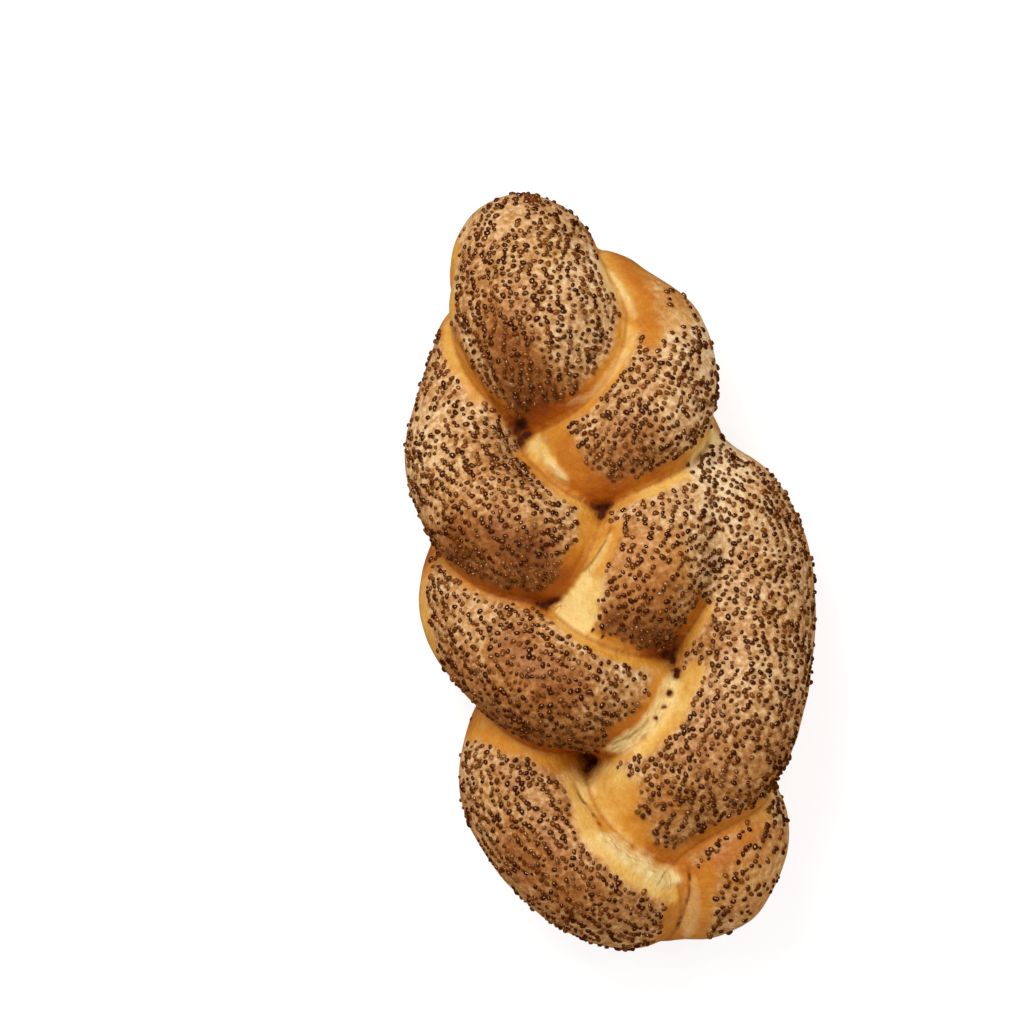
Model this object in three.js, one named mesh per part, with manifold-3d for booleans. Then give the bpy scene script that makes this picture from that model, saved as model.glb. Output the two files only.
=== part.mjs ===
// Poppy seed braided roll: three strands of dough plaited over each other, baked into one piece.
// Millimetres, +Z up. The roll lies on the plane z = 0 with its length along Y, its top end at +Y
// and its tail at -Y. The origin is under the middle of its length and width.

import * as THREE from 'three';
import { mergeGeometries, mergeVertices } from 'three/addons/utils/BufferGeometryUtils.js';
import Module from 'manifold-3d';

// Heights of the dough above the tray
const SHOULDER = 30.5; // top of a strand where it turns at the side of the roll
const PASS = 22; // top of a strand where it dives under its neighbours
const LEAD_TOP = 32; // top of a strand that comes in along the side before its turn
const PRESS = 5; // depth below z = 0 that the weight of the dough flattens
const HEAD_DROP = 6; // how far a lobe has sunk where it goes under the next one

const PASS_HALF = 12.5; // half width of a strand where it dives under
const TURN_REACH = 10; // length to each side over which a strand's direction is taken
const LEAN = 0.75; // share of a strand's slope that its section leans with

// The lobes that show, from the top end to the tail. A lobe starts at its turn at the side of the
// roll, rises over its crest and sinks to its head, where the next lobe crosses it. half is half
// the strand's width, and top and under are the heights of its upper side and underside at the
// crest. A lobe may have its own shoulder height and width, a lead that it comes in by, and the
// place where the strand passes under after it.
const LOBES = [
  { turn: [-4.6, 53], crest: [-3.6, 47], head: [0.5, 38.5], half: 17.2, top: 40, under: 4,
    shoulder: 37, shoulderHalf: 17 },
  { turn: [15.7, 40], crest: [12, 26.6], head: [-3.5, 19.5], half: 12.8, top: 40, under: 12,
    pass: [-20, 9.5] },
  { turn: [-22.6, 26], crest: [-17.6, 12], head: [-5.5, 4.5], half: 13.2, top: 41, under: 14,
    pass: [7, 2] },
  { turn: [15.5, 12.5], crest: [6.5, -0.5], head: [-6.5, -11], half: 13.8, top: 41.5, under: 14,
    pass: [-18, -22.5] },
  { turn: [-25.5, -3.4], crest: [-16.2, -17.8], head: [-3.5, -23.9], half: 13.3, top: 41.5,
    under: 14 },
  { turn: [24.5, -9], crest: [14.5, -35], head: [-1, -45], half: 14, top: 40, under: 12,
    lead: [20.5, 7], shoulder: 34 },
  { turn: [-25.5, -37], crest: [-18.9, -53.4], head: [-8.7, -60.8], half: 13, top: 36, under: 0 },
  { turn: [12.4, -52.4], crest: [8.5, -60.5], head: [4, -63.5], half: 11.5, top: 32, under: 7,
    shoulder: 29.5 },
];

// Where the three strands begin under the top end, and where they end under the tail
const STARTS = [
  { at: [-4.5, 58.3], top: 32, half: 15.3 },
  { at: [9.2, 48.8], top: 26, half: 12 },
  { at: [-13.5, 45.5], top: 24, half: 12.5 },
];
const ENDS = [
  { at: [0, -63.5], top: 22, half: 9 },
  { at: [0, -64.5], top: 21, half: 9 },
  { at: [-12, -52], top: 22, half: 11 },
];
const STRANDS = STARTS.length;

// The crumb that the strands grow together with low inside the roll
const HEART = { half: [29, 64, 15], at: [0, -2, 5] };

// Poppy seeds
const SEED = { length: 1.25, width: 1.05, height: 0.95 };
const SEED_UNEVEN = 0.12; // share by which a seed's size varies
const SEED_LIFT = 0.1; // height of a seed's middle above the crust
const SEED_DROP = 5; // height from which a seed is dropped onto the crust
const SEED_SPACING = 5.9; // least distance between two seeds
const SEED_MARGIN = 0.28; // bare margin beside a crease, as a share of the strand's half width
const SEED_SLOPE = 0.3; // least upward part of the crust's normal under a seed
const SEED_TRIES = 12000; // spots tried
const SEED_DRAW = 41; // start of the random draw

// Steps
const ROUND_STEPS = 24; // facets around a strand
const LENGTH_STEPS = 52; // facets along a strand
const CAP_STEPS = 5; // facets over a strand's round end
const HEART_STEPS = [20, 10]; // facets around the heart and from its top to its bottom
const CLEARANCE_STEPS = 90; // sections of a strand that a seed's bare margin is measured from

const wasm = await Module();
wasm.setup();

function waypoint([x, y], top, bottom, half) {
  return {
    at: new THREE.Vector3(x, y, (top + bottom) / 2),
    girth: new THREE.Vector3(half, (top - bottom) / 2, 0),
  };
}

function middle(a, b) {
  return [(a[0] + b[0]) / 2, (a[1] + b[1]) / 2];
}

// The waypoints of one lobe, with the pass under the roll that leads on to the strand's next lobe.
function lobeWaypoints(lobe, next) {
  const points = [];
  if (lobe.lead) {
    points.push(waypoint(lobe.lead, LEAD_TOP, -PRESS, lobe.half));
  }
  points.push(waypoint(lobe.turn, lobe.shoulder ?? SHOULDER, -PRESS, lobe.shoulderHalf ?? lobe.half));
  points.push(waypoint(lobe.crest, lobe.top, lobe.under, lobe.half));
  points.push(waypoint(lobe.head, lobe.top - HEAD_DROP, lobe.under - HEAD_DROP, lobe.half));
  if (next) {
    points.push(waypoint(lobe.pass ?? middle(lobe.head, next.turn), PASS, -PRESS, PASS_HALF));
  }
  return points;
}

// One strand takes every third lobe. Its path and its girth are curves with the same parameter.
function strand(index) {
  const lobes = LOBES.filter((lobe, i) => i % STRANDS === index);
  const start = STARTS[index];
  const end = ENDS[index];
  const points = [
    waypoint(start.at, start.top, -PRESS, start.half),
    ...lobes.flatMap((lobe, i) => lobeWaypoints(lobe, lobes[i + 1])),
    waypoint(end.at, end.top, -PRESS, end.half),
  ];
  const curve = (list) => new THREE.CatmullRomCurve3(list, false, 'catmullrom', 0.5);
  return { path: curve(points.map((p) => p.at)), girth: curve(points.map((p) => p.girth)) };
}

// The strand's section at a share of its length: its middle, its half width and half height, and
// the directions along, across and upwards. The direction along is taken over a stretch of the
// strand, so that the crust doesn't fold in at a tight turn.
function section({ path, girth }, share) {
  const t = path.getUtoTmapping(share);
  const reach = TURN_REACH / path.getLength();
  const along = path.getPointAt(Math.min(share + reach, 1));
  along.sub(path.getPointAt(Math.max(share - reach, 0)));
  along.setZ(along.z * LEAN).normalize();
  const across = new THREE.Vector3(along.y, -along.x, 0).normalize();
  const size = girth.getPoint(t);
  return {
    centre: path.getPoint(t),
    half: size.x,
    rise: size.y,
    along,
    across,
    up: new THREE.Vector3().crossVectors(across, along),
  };
}

// A capsule of radius 1 around the Y axis, bent along the strand and swollen to its girth.
function strandGeometry(dough) {
  const geometry = new THREE.CapsuleGeometry(1, 1, CAP_STEPS, ROUND_STEPS, LENGTH_STEPS);
  const position = geometry.attributes.position;
  const local = new THREE.Vector3();
  for (let i = 0; i < position.count; i++) {
    local.fromBufferAttribute(position, i);
    const onAxis = THREE.MathUtils.clamp(local.y, -0.5, 0.5);
    const cut = section(dough, onAxis + 0.5);
    const point = cut.centre
      .addScaledVector(cut.across, local.x * cut.half)
      .addScaledVector(cut.up, local.z * cut.rise)
      .addScaledVector(cut.along, (local.y - onAxis) * (cut.half + cut.rise) / 2);
    position.setXYZ(i, point.x, point.y, point.z);
  }
  return geometry;
}

function heartGeometry() {
  return new THREE.SphereGeometry(1, ...HEART_STEPS).scale(...HEART.half).translate(...HEART.at);
}

function trayGeometry() {
  const span = 400;
  const depth = 60;
  return new THREE.BoxGeometry(span, span, depth).translate(0, 0, -depth / 2);
}

// A closed geometry as a solid that can be joined and cut.
function solid(geometry) {
  geometry.deleteAttribute('normal');
  geometry.deleteAttribute('uv');
  const merged = mergeVertices(geometry);
  const index = merged.index.array;
  const triVerts = [];
  for (let i = 0; i < index.length; i += 3) {
    const [a, b, c] = index.slice(i, i + 3);
    if (a !== b && b !== c && c !== a) {
      triVerts.push(a, b, c);
    }
  }
  return new wasm.Manifold(new wasm.Mesh({
    numProp: 3,
    vertProperties: merged.attributes.position.array,
    triVerts: new Uint32Array(triVerts),
  }));
}

function meshGeometry(manifold) {
  const { vertProperties, triVerts } = manifold.getMesh();
  const geometry = new THREE.BufferGeometry();
  geometry.setAttribute('position', new THREE.BufferAttribute(vertProperties, 3));
  geometry.setIndex(new THREE.BufferAttribute(triVerts, 1));
  geometry.computeVertexNormals();
  return geometry;
}

// A repeatable random draw between 0 and 1.
function seededDraw(state) {
  return () => {
    state = (state + 0x6d2b79f5) | 0;
    let mixed = Math.imul(state ^ (state >>> 15), 1 | state);
    mixed = (mixed + Math.imul(mixed ^ (mixed >>> 7), 61 | mixed)) ^ mixed;
    return ((mixed ^ (mixed >>> 14)) >>> 0) / 2 ** 32;
  };
}

// How deep a point lies in a strand: below 1 it is inside, and 1.3 is 0.3 half widths outside.
function nearness(cuts, point) {
  const offset = new THREE.Vector3();
  let least = Infinity;
  for (const cut of cuts) {
    offset.subVectors(point, cut.centre);
    const across = offset.dot(cut.across) / cut.half;
    const up = offset.dot(cut.up) / cut.rise;
    const along = offset.dot(cut.along) / cut.half;
    least = Math.min(least, Math.hypot(across, up, along));
  }
  return least;
}

// A random spot on the upper half of a strand, with the crust's normal there.
function crustSpot(dough, draw) {
  const cut = section(dough, draw());
  const angle = Math.PI * draw();
  const x = Math.cos(angle);
  const z = Math.sin(angle);
  return {
    point: cut.centre
      .addScaledVector(cut.across, x * cut.half)
      .addScaledVector(cut.up, z * cut.rise),
    normal: new THREE.Vector3()
      .addScaledVector(cut.across, x / cut.half)
      .addScaledVector(cut.up, z / cut.rise)
      .normalize(),
  };
}

// Seeds spread evenly over the crust that shows: a spot is kept if it faces up, lies clear of the
// creases where another strand crosses, and is far enough from the seeds already there.
function seedSpots(doughs, draw) {
  const shares = Array.from({ length: CLEARANCE_STEPS + 1 }, (_, i) => i / CLEARANCE_STEPS);
  const cuts = doughs.map((dough) => shares.map((share) => section(dough, share)));
  const spots = [];
  for (let i = 0; i < SEED_TRIES; i++) {
    const own = i % STRANDS;
    const spot = crustSpot(doughs[own], draw);
    const facesUp = spot.normal.z > SEED_SLOPE;
    const clear = cuts.every((list, k) => k === own || nearness(list, spot.point) > 1 + SEED_MARGIN);
    const apart = spots.every((other) => other.point.distanceTo(spot.point) > SEED_SPACING);
    if (facesUp && clear && apart) {
      spots.push(spot);
    }
  }
  return spots;
}

// Where a seed dropped along the normal lands on the faceted crust.
function landing({ point, normal }, crust) {
  const from = point.clone().addScaledVector(normal, SEED_DROP);
  const [hit] = new THREE.Raycaster(from, normal.clone().negate()).intersectObject(crust);
  return { point: hit.point, normal };
}

function seedGeometry({ point, normal }, draw) {
  const size = (1 + SEED_UNEVEN * (2 * draw() - 1)) / 2;
  const geometry = new THREE.IcosahedronGeometry(1);
  geometry.scale(SEED.length * size, SEED.width * size, SEED.height * size);
  geometry.rotateZ(2 * Math.PI * draw());
  const turn = new THREE.Quaternion().setFromUnitVectors(new THREE.Vector3(0, 0, 1), normal);
  geometry.applyQuaternion(turn);
  const middleOfSeed = point.clone().addScaledVector(normal, SEED_LIFT);
  return geometry.translate(middleOfSeed.x, middleOfSeed.y, middleOfSeed.z);
}

function braidedRoll() {
  const doughs = STARTS.map((start, index) => strand(index));
  const plait = doughs
    .map((dough) => solid(strandGeometry(dough)))
    .reduce((joined, next) => joined.add(next), solid(heartGeometry()))
    .subtract(solid(trayGeometry()));
  const draw = seededDraw(SEED_DRAW);
  const bareCrust = new THREE.Mesh(meshGeometry(plait));
  const seeds = seedSpots(doughs, draw).map((spot) => seedGeometry(landing(spot, bareCrust), draw));
  const baked = plait.add(solid(mergeGeometries(seeds)));
  const crust = new THREE.MeshStandardMaterial({ color: 0xb87a3a, roughness: 0.6, metalness: 0 });
  const mesh = new THREE.Mesh(meshGeometry(baked), crust);
  mesh.name = 'braided_roll';
  return mesh;
}

const roll = new THREE.Group();
roll.add(braidedRoll());

export default roll;
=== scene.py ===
# Poppy seed braided roll: three strands of dough plaited over each other, baked into one piece and
# strewn with poppy seeds. Metres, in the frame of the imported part: the roll lies on z = 0 with its
# length along Y and its top end at +Y. The tables below are in millimetres, as the part's are.
import math

import bmesh
import bpy
import numpy as np
from mathutils import Matrix, Vector, noise
from mathutils.bvhtree import BVHTree
from mathutils.kdtree import KDTree


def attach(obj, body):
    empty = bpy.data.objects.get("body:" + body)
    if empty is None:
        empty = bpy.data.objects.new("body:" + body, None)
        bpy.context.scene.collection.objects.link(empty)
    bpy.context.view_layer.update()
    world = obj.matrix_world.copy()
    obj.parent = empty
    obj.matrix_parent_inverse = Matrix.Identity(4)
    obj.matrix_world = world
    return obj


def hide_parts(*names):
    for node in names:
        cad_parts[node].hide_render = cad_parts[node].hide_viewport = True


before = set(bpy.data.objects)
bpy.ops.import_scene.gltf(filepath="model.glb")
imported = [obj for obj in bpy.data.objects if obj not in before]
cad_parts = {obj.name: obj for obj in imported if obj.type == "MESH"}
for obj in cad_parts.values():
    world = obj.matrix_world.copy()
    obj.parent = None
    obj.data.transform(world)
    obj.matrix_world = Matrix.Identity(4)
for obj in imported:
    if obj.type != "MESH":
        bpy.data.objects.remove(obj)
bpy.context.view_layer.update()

MM = 0.001

# The plait, with the part's own values
SHOULDER = 30.5  # top of a strand where it turns at the side of the roll
PASS = 22  # top of a strand where it dives under its neighbours
LEAD_TOP = 32  # top of a strand that comes in along the side before its turn
PRESS = 5  # depth below z = 0 that the weight of the dough flattens
HEAD_DROP = 6  # how far a lobe has sunk where it goes under the next one
PASS_HALF = 12.5  # half width of a strand where it dives under
TURN_REACH = 10  # length to each side over which a strand's direction is taken
LEAN = 0.75  # share of a strand's slope that its section leans with

# The lobes from the top end to the tail: a lobe starts at its turn at the side of the roll, rises
# over its crest and sinks to its head. Strands take every third lobe.
LOBES = [
    {"turn": (-4.6, 53), "crest": (-3.6, 47), "head": (0.5, 38.5), "half": 17.2, "top": 40,
     "under": 4, "shoulder": 37, "shoulder_half": 17},
    {"turn": (15.7, 40), "crest": (12.0, 26.6), "head": (-3.5, 19.5), "half": 12.8, "top": 40,
     "under": 12, "pass": (-20, 9.5)},
    {"turn": (-22.6, 26), "crest": (-17.6, 12), "head": (-5.5, 4.5), "half": 13.2, "top": 41,
     "under": 14, "pass": (7, 2)},
    {"turn": (15.5, 12.5), "crest": (6.5, -0.5), "head": (-6.5, -11), "half": 13.8, "top": 41.5,
     "under": 14, "pass": (-18, -22.5)},
    {"turn": (-25.5, -3.4), "crest": (-16.2, -17.8), "head": (-3.5, -23.9), "half": 13.3,
     "top": 41.5, "under": 14},
    {"turn": (24.5, -9), "crest": (14.5, -35), "head": (-1, -45), "half": 14, "top": 40,
     "under": 12, "lead": (20.5, 7), "shoulder": 34},
    {"turn": (-25.5, -37), "crest": (-18.9, -53.4), "head": (-8.7, -60.8), "half": 13, "top": 36,
     "under": 0},
    {"turn": (12.4, -52.4), "crest": (8.5, -60.5), "head": (4, -63.5), "half": 11.5, "top": 32,
     "under": 7, "shoulder": 29.5},
]
STARTS = [
    {"at": (-4.5, 58.3), "top": 32, "half": 15.3},
    {"at": (9.2, 48.8), "top": 26, "half": 12},
    {"at": (-13.5, 45.5), "top": 24, "half": 12.5},
]
ENDS = [
    {"at": (0, -63.5), "top": 22, "half": 9},
    {"at": (0, -64.5), "top": 21, "half": 9},
    {"at": (-12, -52), "top": 22, "half": 11},
]
STRANDS = len(STARTS)
HEART_HALF = (29, 64, 15)
HEART_AT = (0, -2, 5)
TAIL_FROM = 42  # distance below the middle where the tail begins
TAIL_WHOLE = 53  # and from where all of it counts as tail

# Facets
STRAND_ROUND = 72
STRAND_RINGS = 260
CAP_RINGS = 18
SPAN_STEPS = 60
HEART_ROUND = 64
HEART_RINGS = 32
SKIN_FACET = 0.57  # size of the joined skin's facets
UNDERSIDE = 0.3  # height up to which the joined skin is underside
RIM = 1  # height up to which the rim of the underside stays as it was cut

# Relief of the crust
SKIN_SINK = 0.6  # how far the crust lies below the plait's own surface, as room for the seeds
LUMPS = ((0.35, 14, 1), (0.08, 4, 2))  # height, grain and the number of the pattern
GROOVE_DEPTH = 0.8  # of a crease that didn't tear
CRACK_DEPTH = 0.5

# Creases where the crust tore while it rose: half the width of the band, the height of the crumb
# that stands in it, how far the tear opened and the line it follows
TEARS = [
    (0.4, 0.3, 0.9, [(11.5, 57.9), (13.8, 50.3), (14.3, 44.8)]),
    (0.5, 0.1, 0.45, [(14.3, 44.8), (8.4, 37.8), (3.0, 33.6), (-3.5, 31.8)]),
    (0.65, 0.4, 0.9, [(-9.8, 25.9), (-7.2, 21.0), (-4.6, 17.2)]),
    (0.6, 0.15, 0.5, [(1.4, 8.4), (-1.4, 4.5), (-7.6, -1.5)]),
    (1.2, 0.1, 1.0, [(7.9, -20.6), (5.2, -25.6), (0.6, -30.4), (-4.6, -33.2), (-9.6, -34.1)]),
    (1.9, 0.35, 1.0, [(-13.3, -47.6), (-10.9, -52.2), (-6.4, -56.9), (-1.6, -60.3), (1.0, -61.2)]),
    (1.5, 0.1, 0.35, [(2.6, -59.6), (2.0, -63.9), (0.9, -68.5), (-1.6, -74.5)]),
]
# Cracks beside the tears, painted dark as painted shade in the narrow gap: half the width, how dark
# they are and the line they follow
CRACKS = [
    (0.3, 0.8, [(-15.4, -37.6), (-14.4, -41.0), (-12.9, -44.6), (-11.7, -47.8)]),
    (0.3, 0.45, [(1.4, -29.5), (-1.2, -31.2), (-3.6, -32.3), (-8.2, -33.4)]),
    (0.35, 0.9, [(1.8, -58.2), (1.0, -63.6), (-0.7, -68.2), (-2.6, -71.6)]),
    (0.25, 0.5, [(1.2, 9.0), (-0.6, 6.2), (-3.4, 3.2), (-6.8, 0.6)]),
    (0.3, 0.55, [(-20.7, 49.7), (-19.3, 43.1), (-16.3, 35.9), (-13.5, 31.2)]),
]
# Deep corners between three lobes sink into the skin and are also painted dark, as painted shade
CORNER_REACH = 4.4  # how far a deep corner between three lobes runs along its creases
CORNER_HALF = 1.5  # half its width there
CORNER_DEPTH = 2.4
CORNER_FILLED = ((-11.6, -6.4), 3.2)  # place and radius where crumb fills part of a corner
# Small holes in the torn crumb, painted dark inside as painted shade: place, radius and depth
PITS = [
    ((8.0, -21.6), 0.7, 3.0),
    ((7.7, -22.4), 0.7, 3.0),
    ((5.6, -25.4), 0.75, 2.0),
    ((4.0, -27.6), 0.5, 1.2),
    ((2.0, -29.5), 0.45, 0.9),
    ((-11.4, 31.0), 1.5, 1.6),
    ((-6.2, -10.4), 0.4, 0.5),
    ((-4.6, -12.0), 0.35, 0.5),
]
# Crust that no seeds stuck to: the strand, half the width of the stretch, how pale it stayed (below
# 0 where it browned), how far it sank and the line it follows
BARE = [
    (0, 1.8, 0.3, 0.0, [(-18.0, 69.0), (-19.6, 64.7), (-20.9, 59.4), (-21.2, 55.2)]),
    (1, 2.4, -0.3, 0.0, [(13.5, 57.8), (16.1, 49.8), (16.2, 42.8)]),
    (1, 1.6, 0.6, 0.5, [(-10.0, 27.0), (-7.9, 23.4)]),
    (1, 2.6, -0.15, 0.0, [(-5.2, 27.0), (-4.2, 22.5), (-2.2, 18.0), (0.2, 14.5)]),
    (2, 2.0, 0.1, 0.0, [(-19.9, 52.5), (-17.4, 42.5)]),
    (2, 3.2, -0.1, 0.0, [(-0.1, 12.7), (-2.3, 6.2), (-6.2, 2.4)]),
    (0, 1.2, 0.35, 0.3, [(2.6, 8.7), (-0.5, 3.9), (-3.5, 0.6)]),
    (0, 1.3, -0.1, 0.0, [(-8.0, 32.2), (-3.0, 31.9), (2.6, 33.6)]),
    (0, 3.2, 1.0, 0.8, [(-6.4, -2.2), (-10.1, -4.2), (-8.0, -7.2)]),
    (0, 1.4, 0.8, 0.3, [(-8.3, -9.4), (-4.6, -12.6), (-1.6, -15.0), (0.8, -16.8)]),
    (1, 1.2, 0.4, 0.0, [(-35.6, 9.5), (-38.0, 3.8), (-38.9, -4.0), (-38.0, -9.0)]),
    (2, 2.0, 0.5, 0.0, [(10.8, -21.9), (4.7, -29.9), (-1.8, -34.4)]),
    (2, 6.2, 0.5, 0.3, [(-11.2, -41.3), (-10.6, -42.3)]),
    (2, 4.3, 0.4, 0.3, [(-9.0, -49.7), (-8.5, -50.2)]),
    (2, 1.0, -0.1, 0.0, [(-5.7, -52.8), (-1.0, -55.4)]),
    (0, 2.0, 0.0, 0.0, [(-33.3, -24.4), (-24.4, -29.0), (-16.5, -33.9)]),
    (0, 1.8, 0.85, 0.0, [(-15.6, -37.6), (-14.6, -47.7), (-8.4, -58.5), (-2.0, -63.3)]),
    (1, 1.5, 0.1, 0.0, [(6.4, -20.2), (3.4, -25.4), (-1.6, -29.6), (-6.5, -31.6)]),
    (1, 1.3, 0.2, 0.0, [(20.5, 18.6), (25.5, 21.4)]),
    (0, 0.9, 0.2, 0.0, [(20.5, 18.2), (25.5, 21.0)]),
    (2, 0.9, 0.2, 0.0, [(20.5, 18.2), (25.5, 21.0)]),
    (1, 2.2, 0.0, 0.0, [(4.2, -61.0), (3.4, -66.9), (1.0, -73.3)]),
    (1, 0.8, 0.0, 0.0, [(3.5, -60.2), (11.0, -57.4), (20.0, -52.4)]),
]
# Seeds also lie in the shallow end of the first valley: half the width and the line
FILLED = (4.0, [(22.3, 16.4), (21.0, 12.2), (19.8, 4.7), (19.3, -2.3)])
# Crust with few seeds: place, radius and the share of seeds that is missing
SPARSE = [
    ((14.5, 54.5), 5.5, 0.9),
    ((22.0, 48.5), 8.0, 0.68),
    ((-4.0, 55.0), 18.0, 0.1),
    ((-3.0, 69.0), 9.0, 0.15),
    ((-2.1, -45.2), 7.0, 0.55),
    ((14.0, -63.0), 12.0, 0.6),
    ((-24.0, -46.0), 14.0, 0.3),
    ((17.0, 30.0), 9.0, 0.1),
    ((6.5, -1.0), 10.0, 0.55),
    ((-20.0, -15.0), 8.0, 0.35),
    ((24.0, -14.0), 18.0, 0.2),
    ((29.0, 14.0), 7.0, 0.25),
    ((14.0, -38.0), 12.0, 0.1),
    ((-26.0, 38.0), 8.0, 0.25),
]
# Where the seeds come closer to a crease: the strand, the share of the bare width that is left, half
# the width of the stretch and the line it follows
CLOSER = [
    (2, 0.45, 4.0, [(-15.0, 36.5), (-11.8, 30.0), (-8.5, 25.0)]),
    (1, 0.55, 5.0, [(-34.0, 9.4), (-22.0, 0.5), (-14.2, -4.7)]),
    (1, 0.7, 5.0, [(3.5, -60.2), (11.0, -57.4), (20.0, -52.4)]),
    (0, 0.4, 5.0, [(-3.0, -13.0), (6.0, -18.0)]),
    (2, 0.6, 5.0, [(3.4, -56.7), (11.8, -54.9), (19.8, -50.2)]),
]
# Crust painted darker (above 0) or lighter than its place alone gives: the change, half the width of
# the stretch and the line it follows
TONES = [
    (-0.18, 9.0, [(5.7, 53.0), (3.2, 43.7)]),
    (0.03, 6.0, [(-13.8, 58.1), (-9.5, 50.3)]),
    (-0.06, 8.0, [(10.0, -62.0), (15.0, -67.0)]),
    (-0.06, 5.0, [(-30.0, 33.9), (-32.0, 20.5)]),
    (0.19, 5.0, [(-25.5, 12.1), (-14.8, 6.9)]),
    (0.06, 5.0, [(3.7, 23.7), (11.0, 21.2)]),
    (0.16, 6.0, [(-21.6, -11.4), (-13.6, -20.1)]),
    (0.10, 6.0, [(-28.7, -49.5), (-22.3, -56.7)]),
    (0.17, 6.0, [(-12.2, 46.9), (-8.5, 36.2)]),
    (0.12, 0.9, [(-20.2, 52.0), (-18.2, 44.8), (-15.6, 37.2), (-13.1, 31.2)]),
    (0.12, 3.0, [(25.0, 20.8), (28.5, 21.5)]),
    (-0.22, 1.7, [(-18.6, 48.5), (-16.8, 42.5), (-14.8, 37.4), (-13.2, 34.4)]),
    (0.06, 6.0, [(-33.6, 20.8), (-30.6, 11.3)]),
    (-0.12, 5.0, [(10.8, 15.7), (17.2, 17.5), (22.7, 19.5)]),
    (-0.06, 5.0, [(-0.8, 15.0), (4.7, 13.0)]),
    (-0.06, 6.0, [(-10.3, 13.9), (-5.8, 7.0)]),
    (-0.07, 4.0, [(-11.6, -6.0), (-4.4, -14.1), (2.3, -20.1)]),
    (0.10, 5.0, [(-34.2, -14.7), (-23.9, -26.8)]),
    (0.06, 4.0, [(-3.2, -54.9), (9.1, -57.5)]),
    (0.08, 3.0, [(15.4, -9.4), (16.1, -17.5)]),
    (-0.05, 4.0, [(-15.5, -52.3), (-7.2, -60.0)]),
    (-0.17, 8.0, [(24.4, 38.0), (24.4, 33.0), (20.3, 23.2)]),
    (-0.08, 14.0, [(25.0, 5.0), (25.0, -20.0)]),
    (-0.12, 5.0, [(22.9, 14.7), (19.0, 1.7), (13.1, -10.9)]),
    (-0.05, 10.0, [(27.3, -27.8), (18.5, -36.8)]),
    (-0.09, 6.0, [(0.5, -23.8), (-8.1, -24.6)]),
    (0.06, 5.0, [(14.7, 57.0), (21.4, 51.6)]),
    (0.14, 3.0, [(-34.0, 9.4), (-22.0, 0.5), (-14.2, -4.7)]),
    (0.03, 4.0, [(-29.8, -26.5), (-22.7, -30.6), (-15.0, -36.2)]),
    (0.14, 4.0, [(-2.0, -11.5), (5.0, -16.0)]),
    (0.10, 6.0, [(4.5, -60.5), (13.9, -58.1)]),
    (0.02, 5.0, [(-10.6, -43.4), (-6.3, -51.3)]),
    (0.06, 13.0, [(-24.0, -42.0), (-16.0, -60.0)]),
]
# Valleys between lobes that rose into one another: half the width, how far they filled and the
# line. The first one filled so far that seeds lie in it.
VALLEYS = [
    (5.0, 1.0, [(28.5, 19.5), (25.8, 4.2), (20.5, -6.5)]),
    (3.5, 0.12, [(23.0, -47.0), (16.2, -53.9), (8.0, -57.1), (1.9, -58.0)]),
    (3.5, 0.3, [(1.9, -58.0), (1.6, -63.9), (0.3, -68.5), (-1.8, -72.9)]),
    (3.0, 0.15, [(-12.9, -46.9), (-10.2, -51.6), (-5.4, -56.6), (0.2, -60.0)]),
]
VALLEY_BANDS = ((1.3, 25), (1.0, 35), (0.6, 40))  # shares of the width, with rounds of smoothing
VALLEY_FOOT = 5  # height below which a valley is left as it is

# Seeds
SEED_HALF = (0.62, 0.46, 0.40)  # half length, width and height
SEED_BEND = 0.28  # how far a seed bends to a kidney, in half widths
SEED_ROUND = 7
SEED_RINGS = 4
SEED_UNEVEN = 0.32  # how much larger or smaller than that a seed may be
SEED_TIP = 0.22  # how far a seed tips off the crust
SEED_TURN = 0.8  # how far a seed turns away from its row
SEED_LIFT = 0.1  # height of a seed's middle above the crust
SEED_SPACING = 0.82  # least distance between the middles of two seeds of a row
ROW_SPACING = 1.3  # and between two rows
ROW_TURN = 1.3  # how far the rows swing to the sides of the strand's direction
ROW_WOBBLE = 0.25  # how far a row strays from one seed to the next
ROW_STEP = 1.05  # least step along a row, in spacings
ROW_STEP_MORE = 0.5  # and how much longer it may be
ROW_END = 0.3  # chance that a row ends after a seed
SEED_MARGIN = 2.2  # bare width beside a crease
SEED_MARGIN_BELOW = 1.1  # and how much wider it is on the lower side of a lobe
SEED_CROWD = 1.0  # how many more seeds gather along the lower rim of a lobe
SEED_HOLD = 2.5  # chance that a seed stays, for each share of seeds that its place has
SEED_COUNT = 3900
SEED_ROWS = 12000
SEED_DRAW = 41
SLATE_SHARE = 0.45

# Lamps: name, place and size in metres, and power in watts
LAMPS = [
    ("key", (-0.25, 0.7, 1.05), 0.5, 8.0),
    ("left", (-0.5, 0.35, 1.2), 0.03, 1.2),
    ("right", (0.45, 0.1, 1.25), 0.03, 1.2),
    ("front", (0.1, -0.35, 1.3), 0.03, 0.9),
]
SKY_STRENGTH = 0.53
FLOOR_HALF = 4
CAMERA_AT = (-0.01663, 0.0148, 1.4)
CAMERA_TURN = -12
LENS = 251.7
SENSOR = 36


def waypoint(at, top, bottom, half):
    return (at[0], at[1], (top + bottom) / 2, half, (top - bottom) / 2)


def lobe_waypoints(lobe, following):
    half = lobe["half"]
    points = []
    if "lead" in lobe:
        points.append(waypoint(lobe["lead"], LEAD_TOP, -PRESS, half))
    points.append(waypoint(lobe["turn"], lobe.get("shoulder", SHOULDER), -PRESS,
                           lobe.get("shoulder_half", half)))
    points.append(waypoint(lobe["crest"], lobe["top"], lobe["under"], half))
    points.append(waypoint(lobe["head"], lobe["top"] - HEAD_DROP, lobe["under"] - HEAD_DROP, half))
    if following:
        midway = [(a + b) / 2 for a, b in zip(lobe["head"], following["turn"])]
        points.append(waypoint(lobe.get("pass", midway), PASS, -PRESS, PASS_HALF))
    return points


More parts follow.
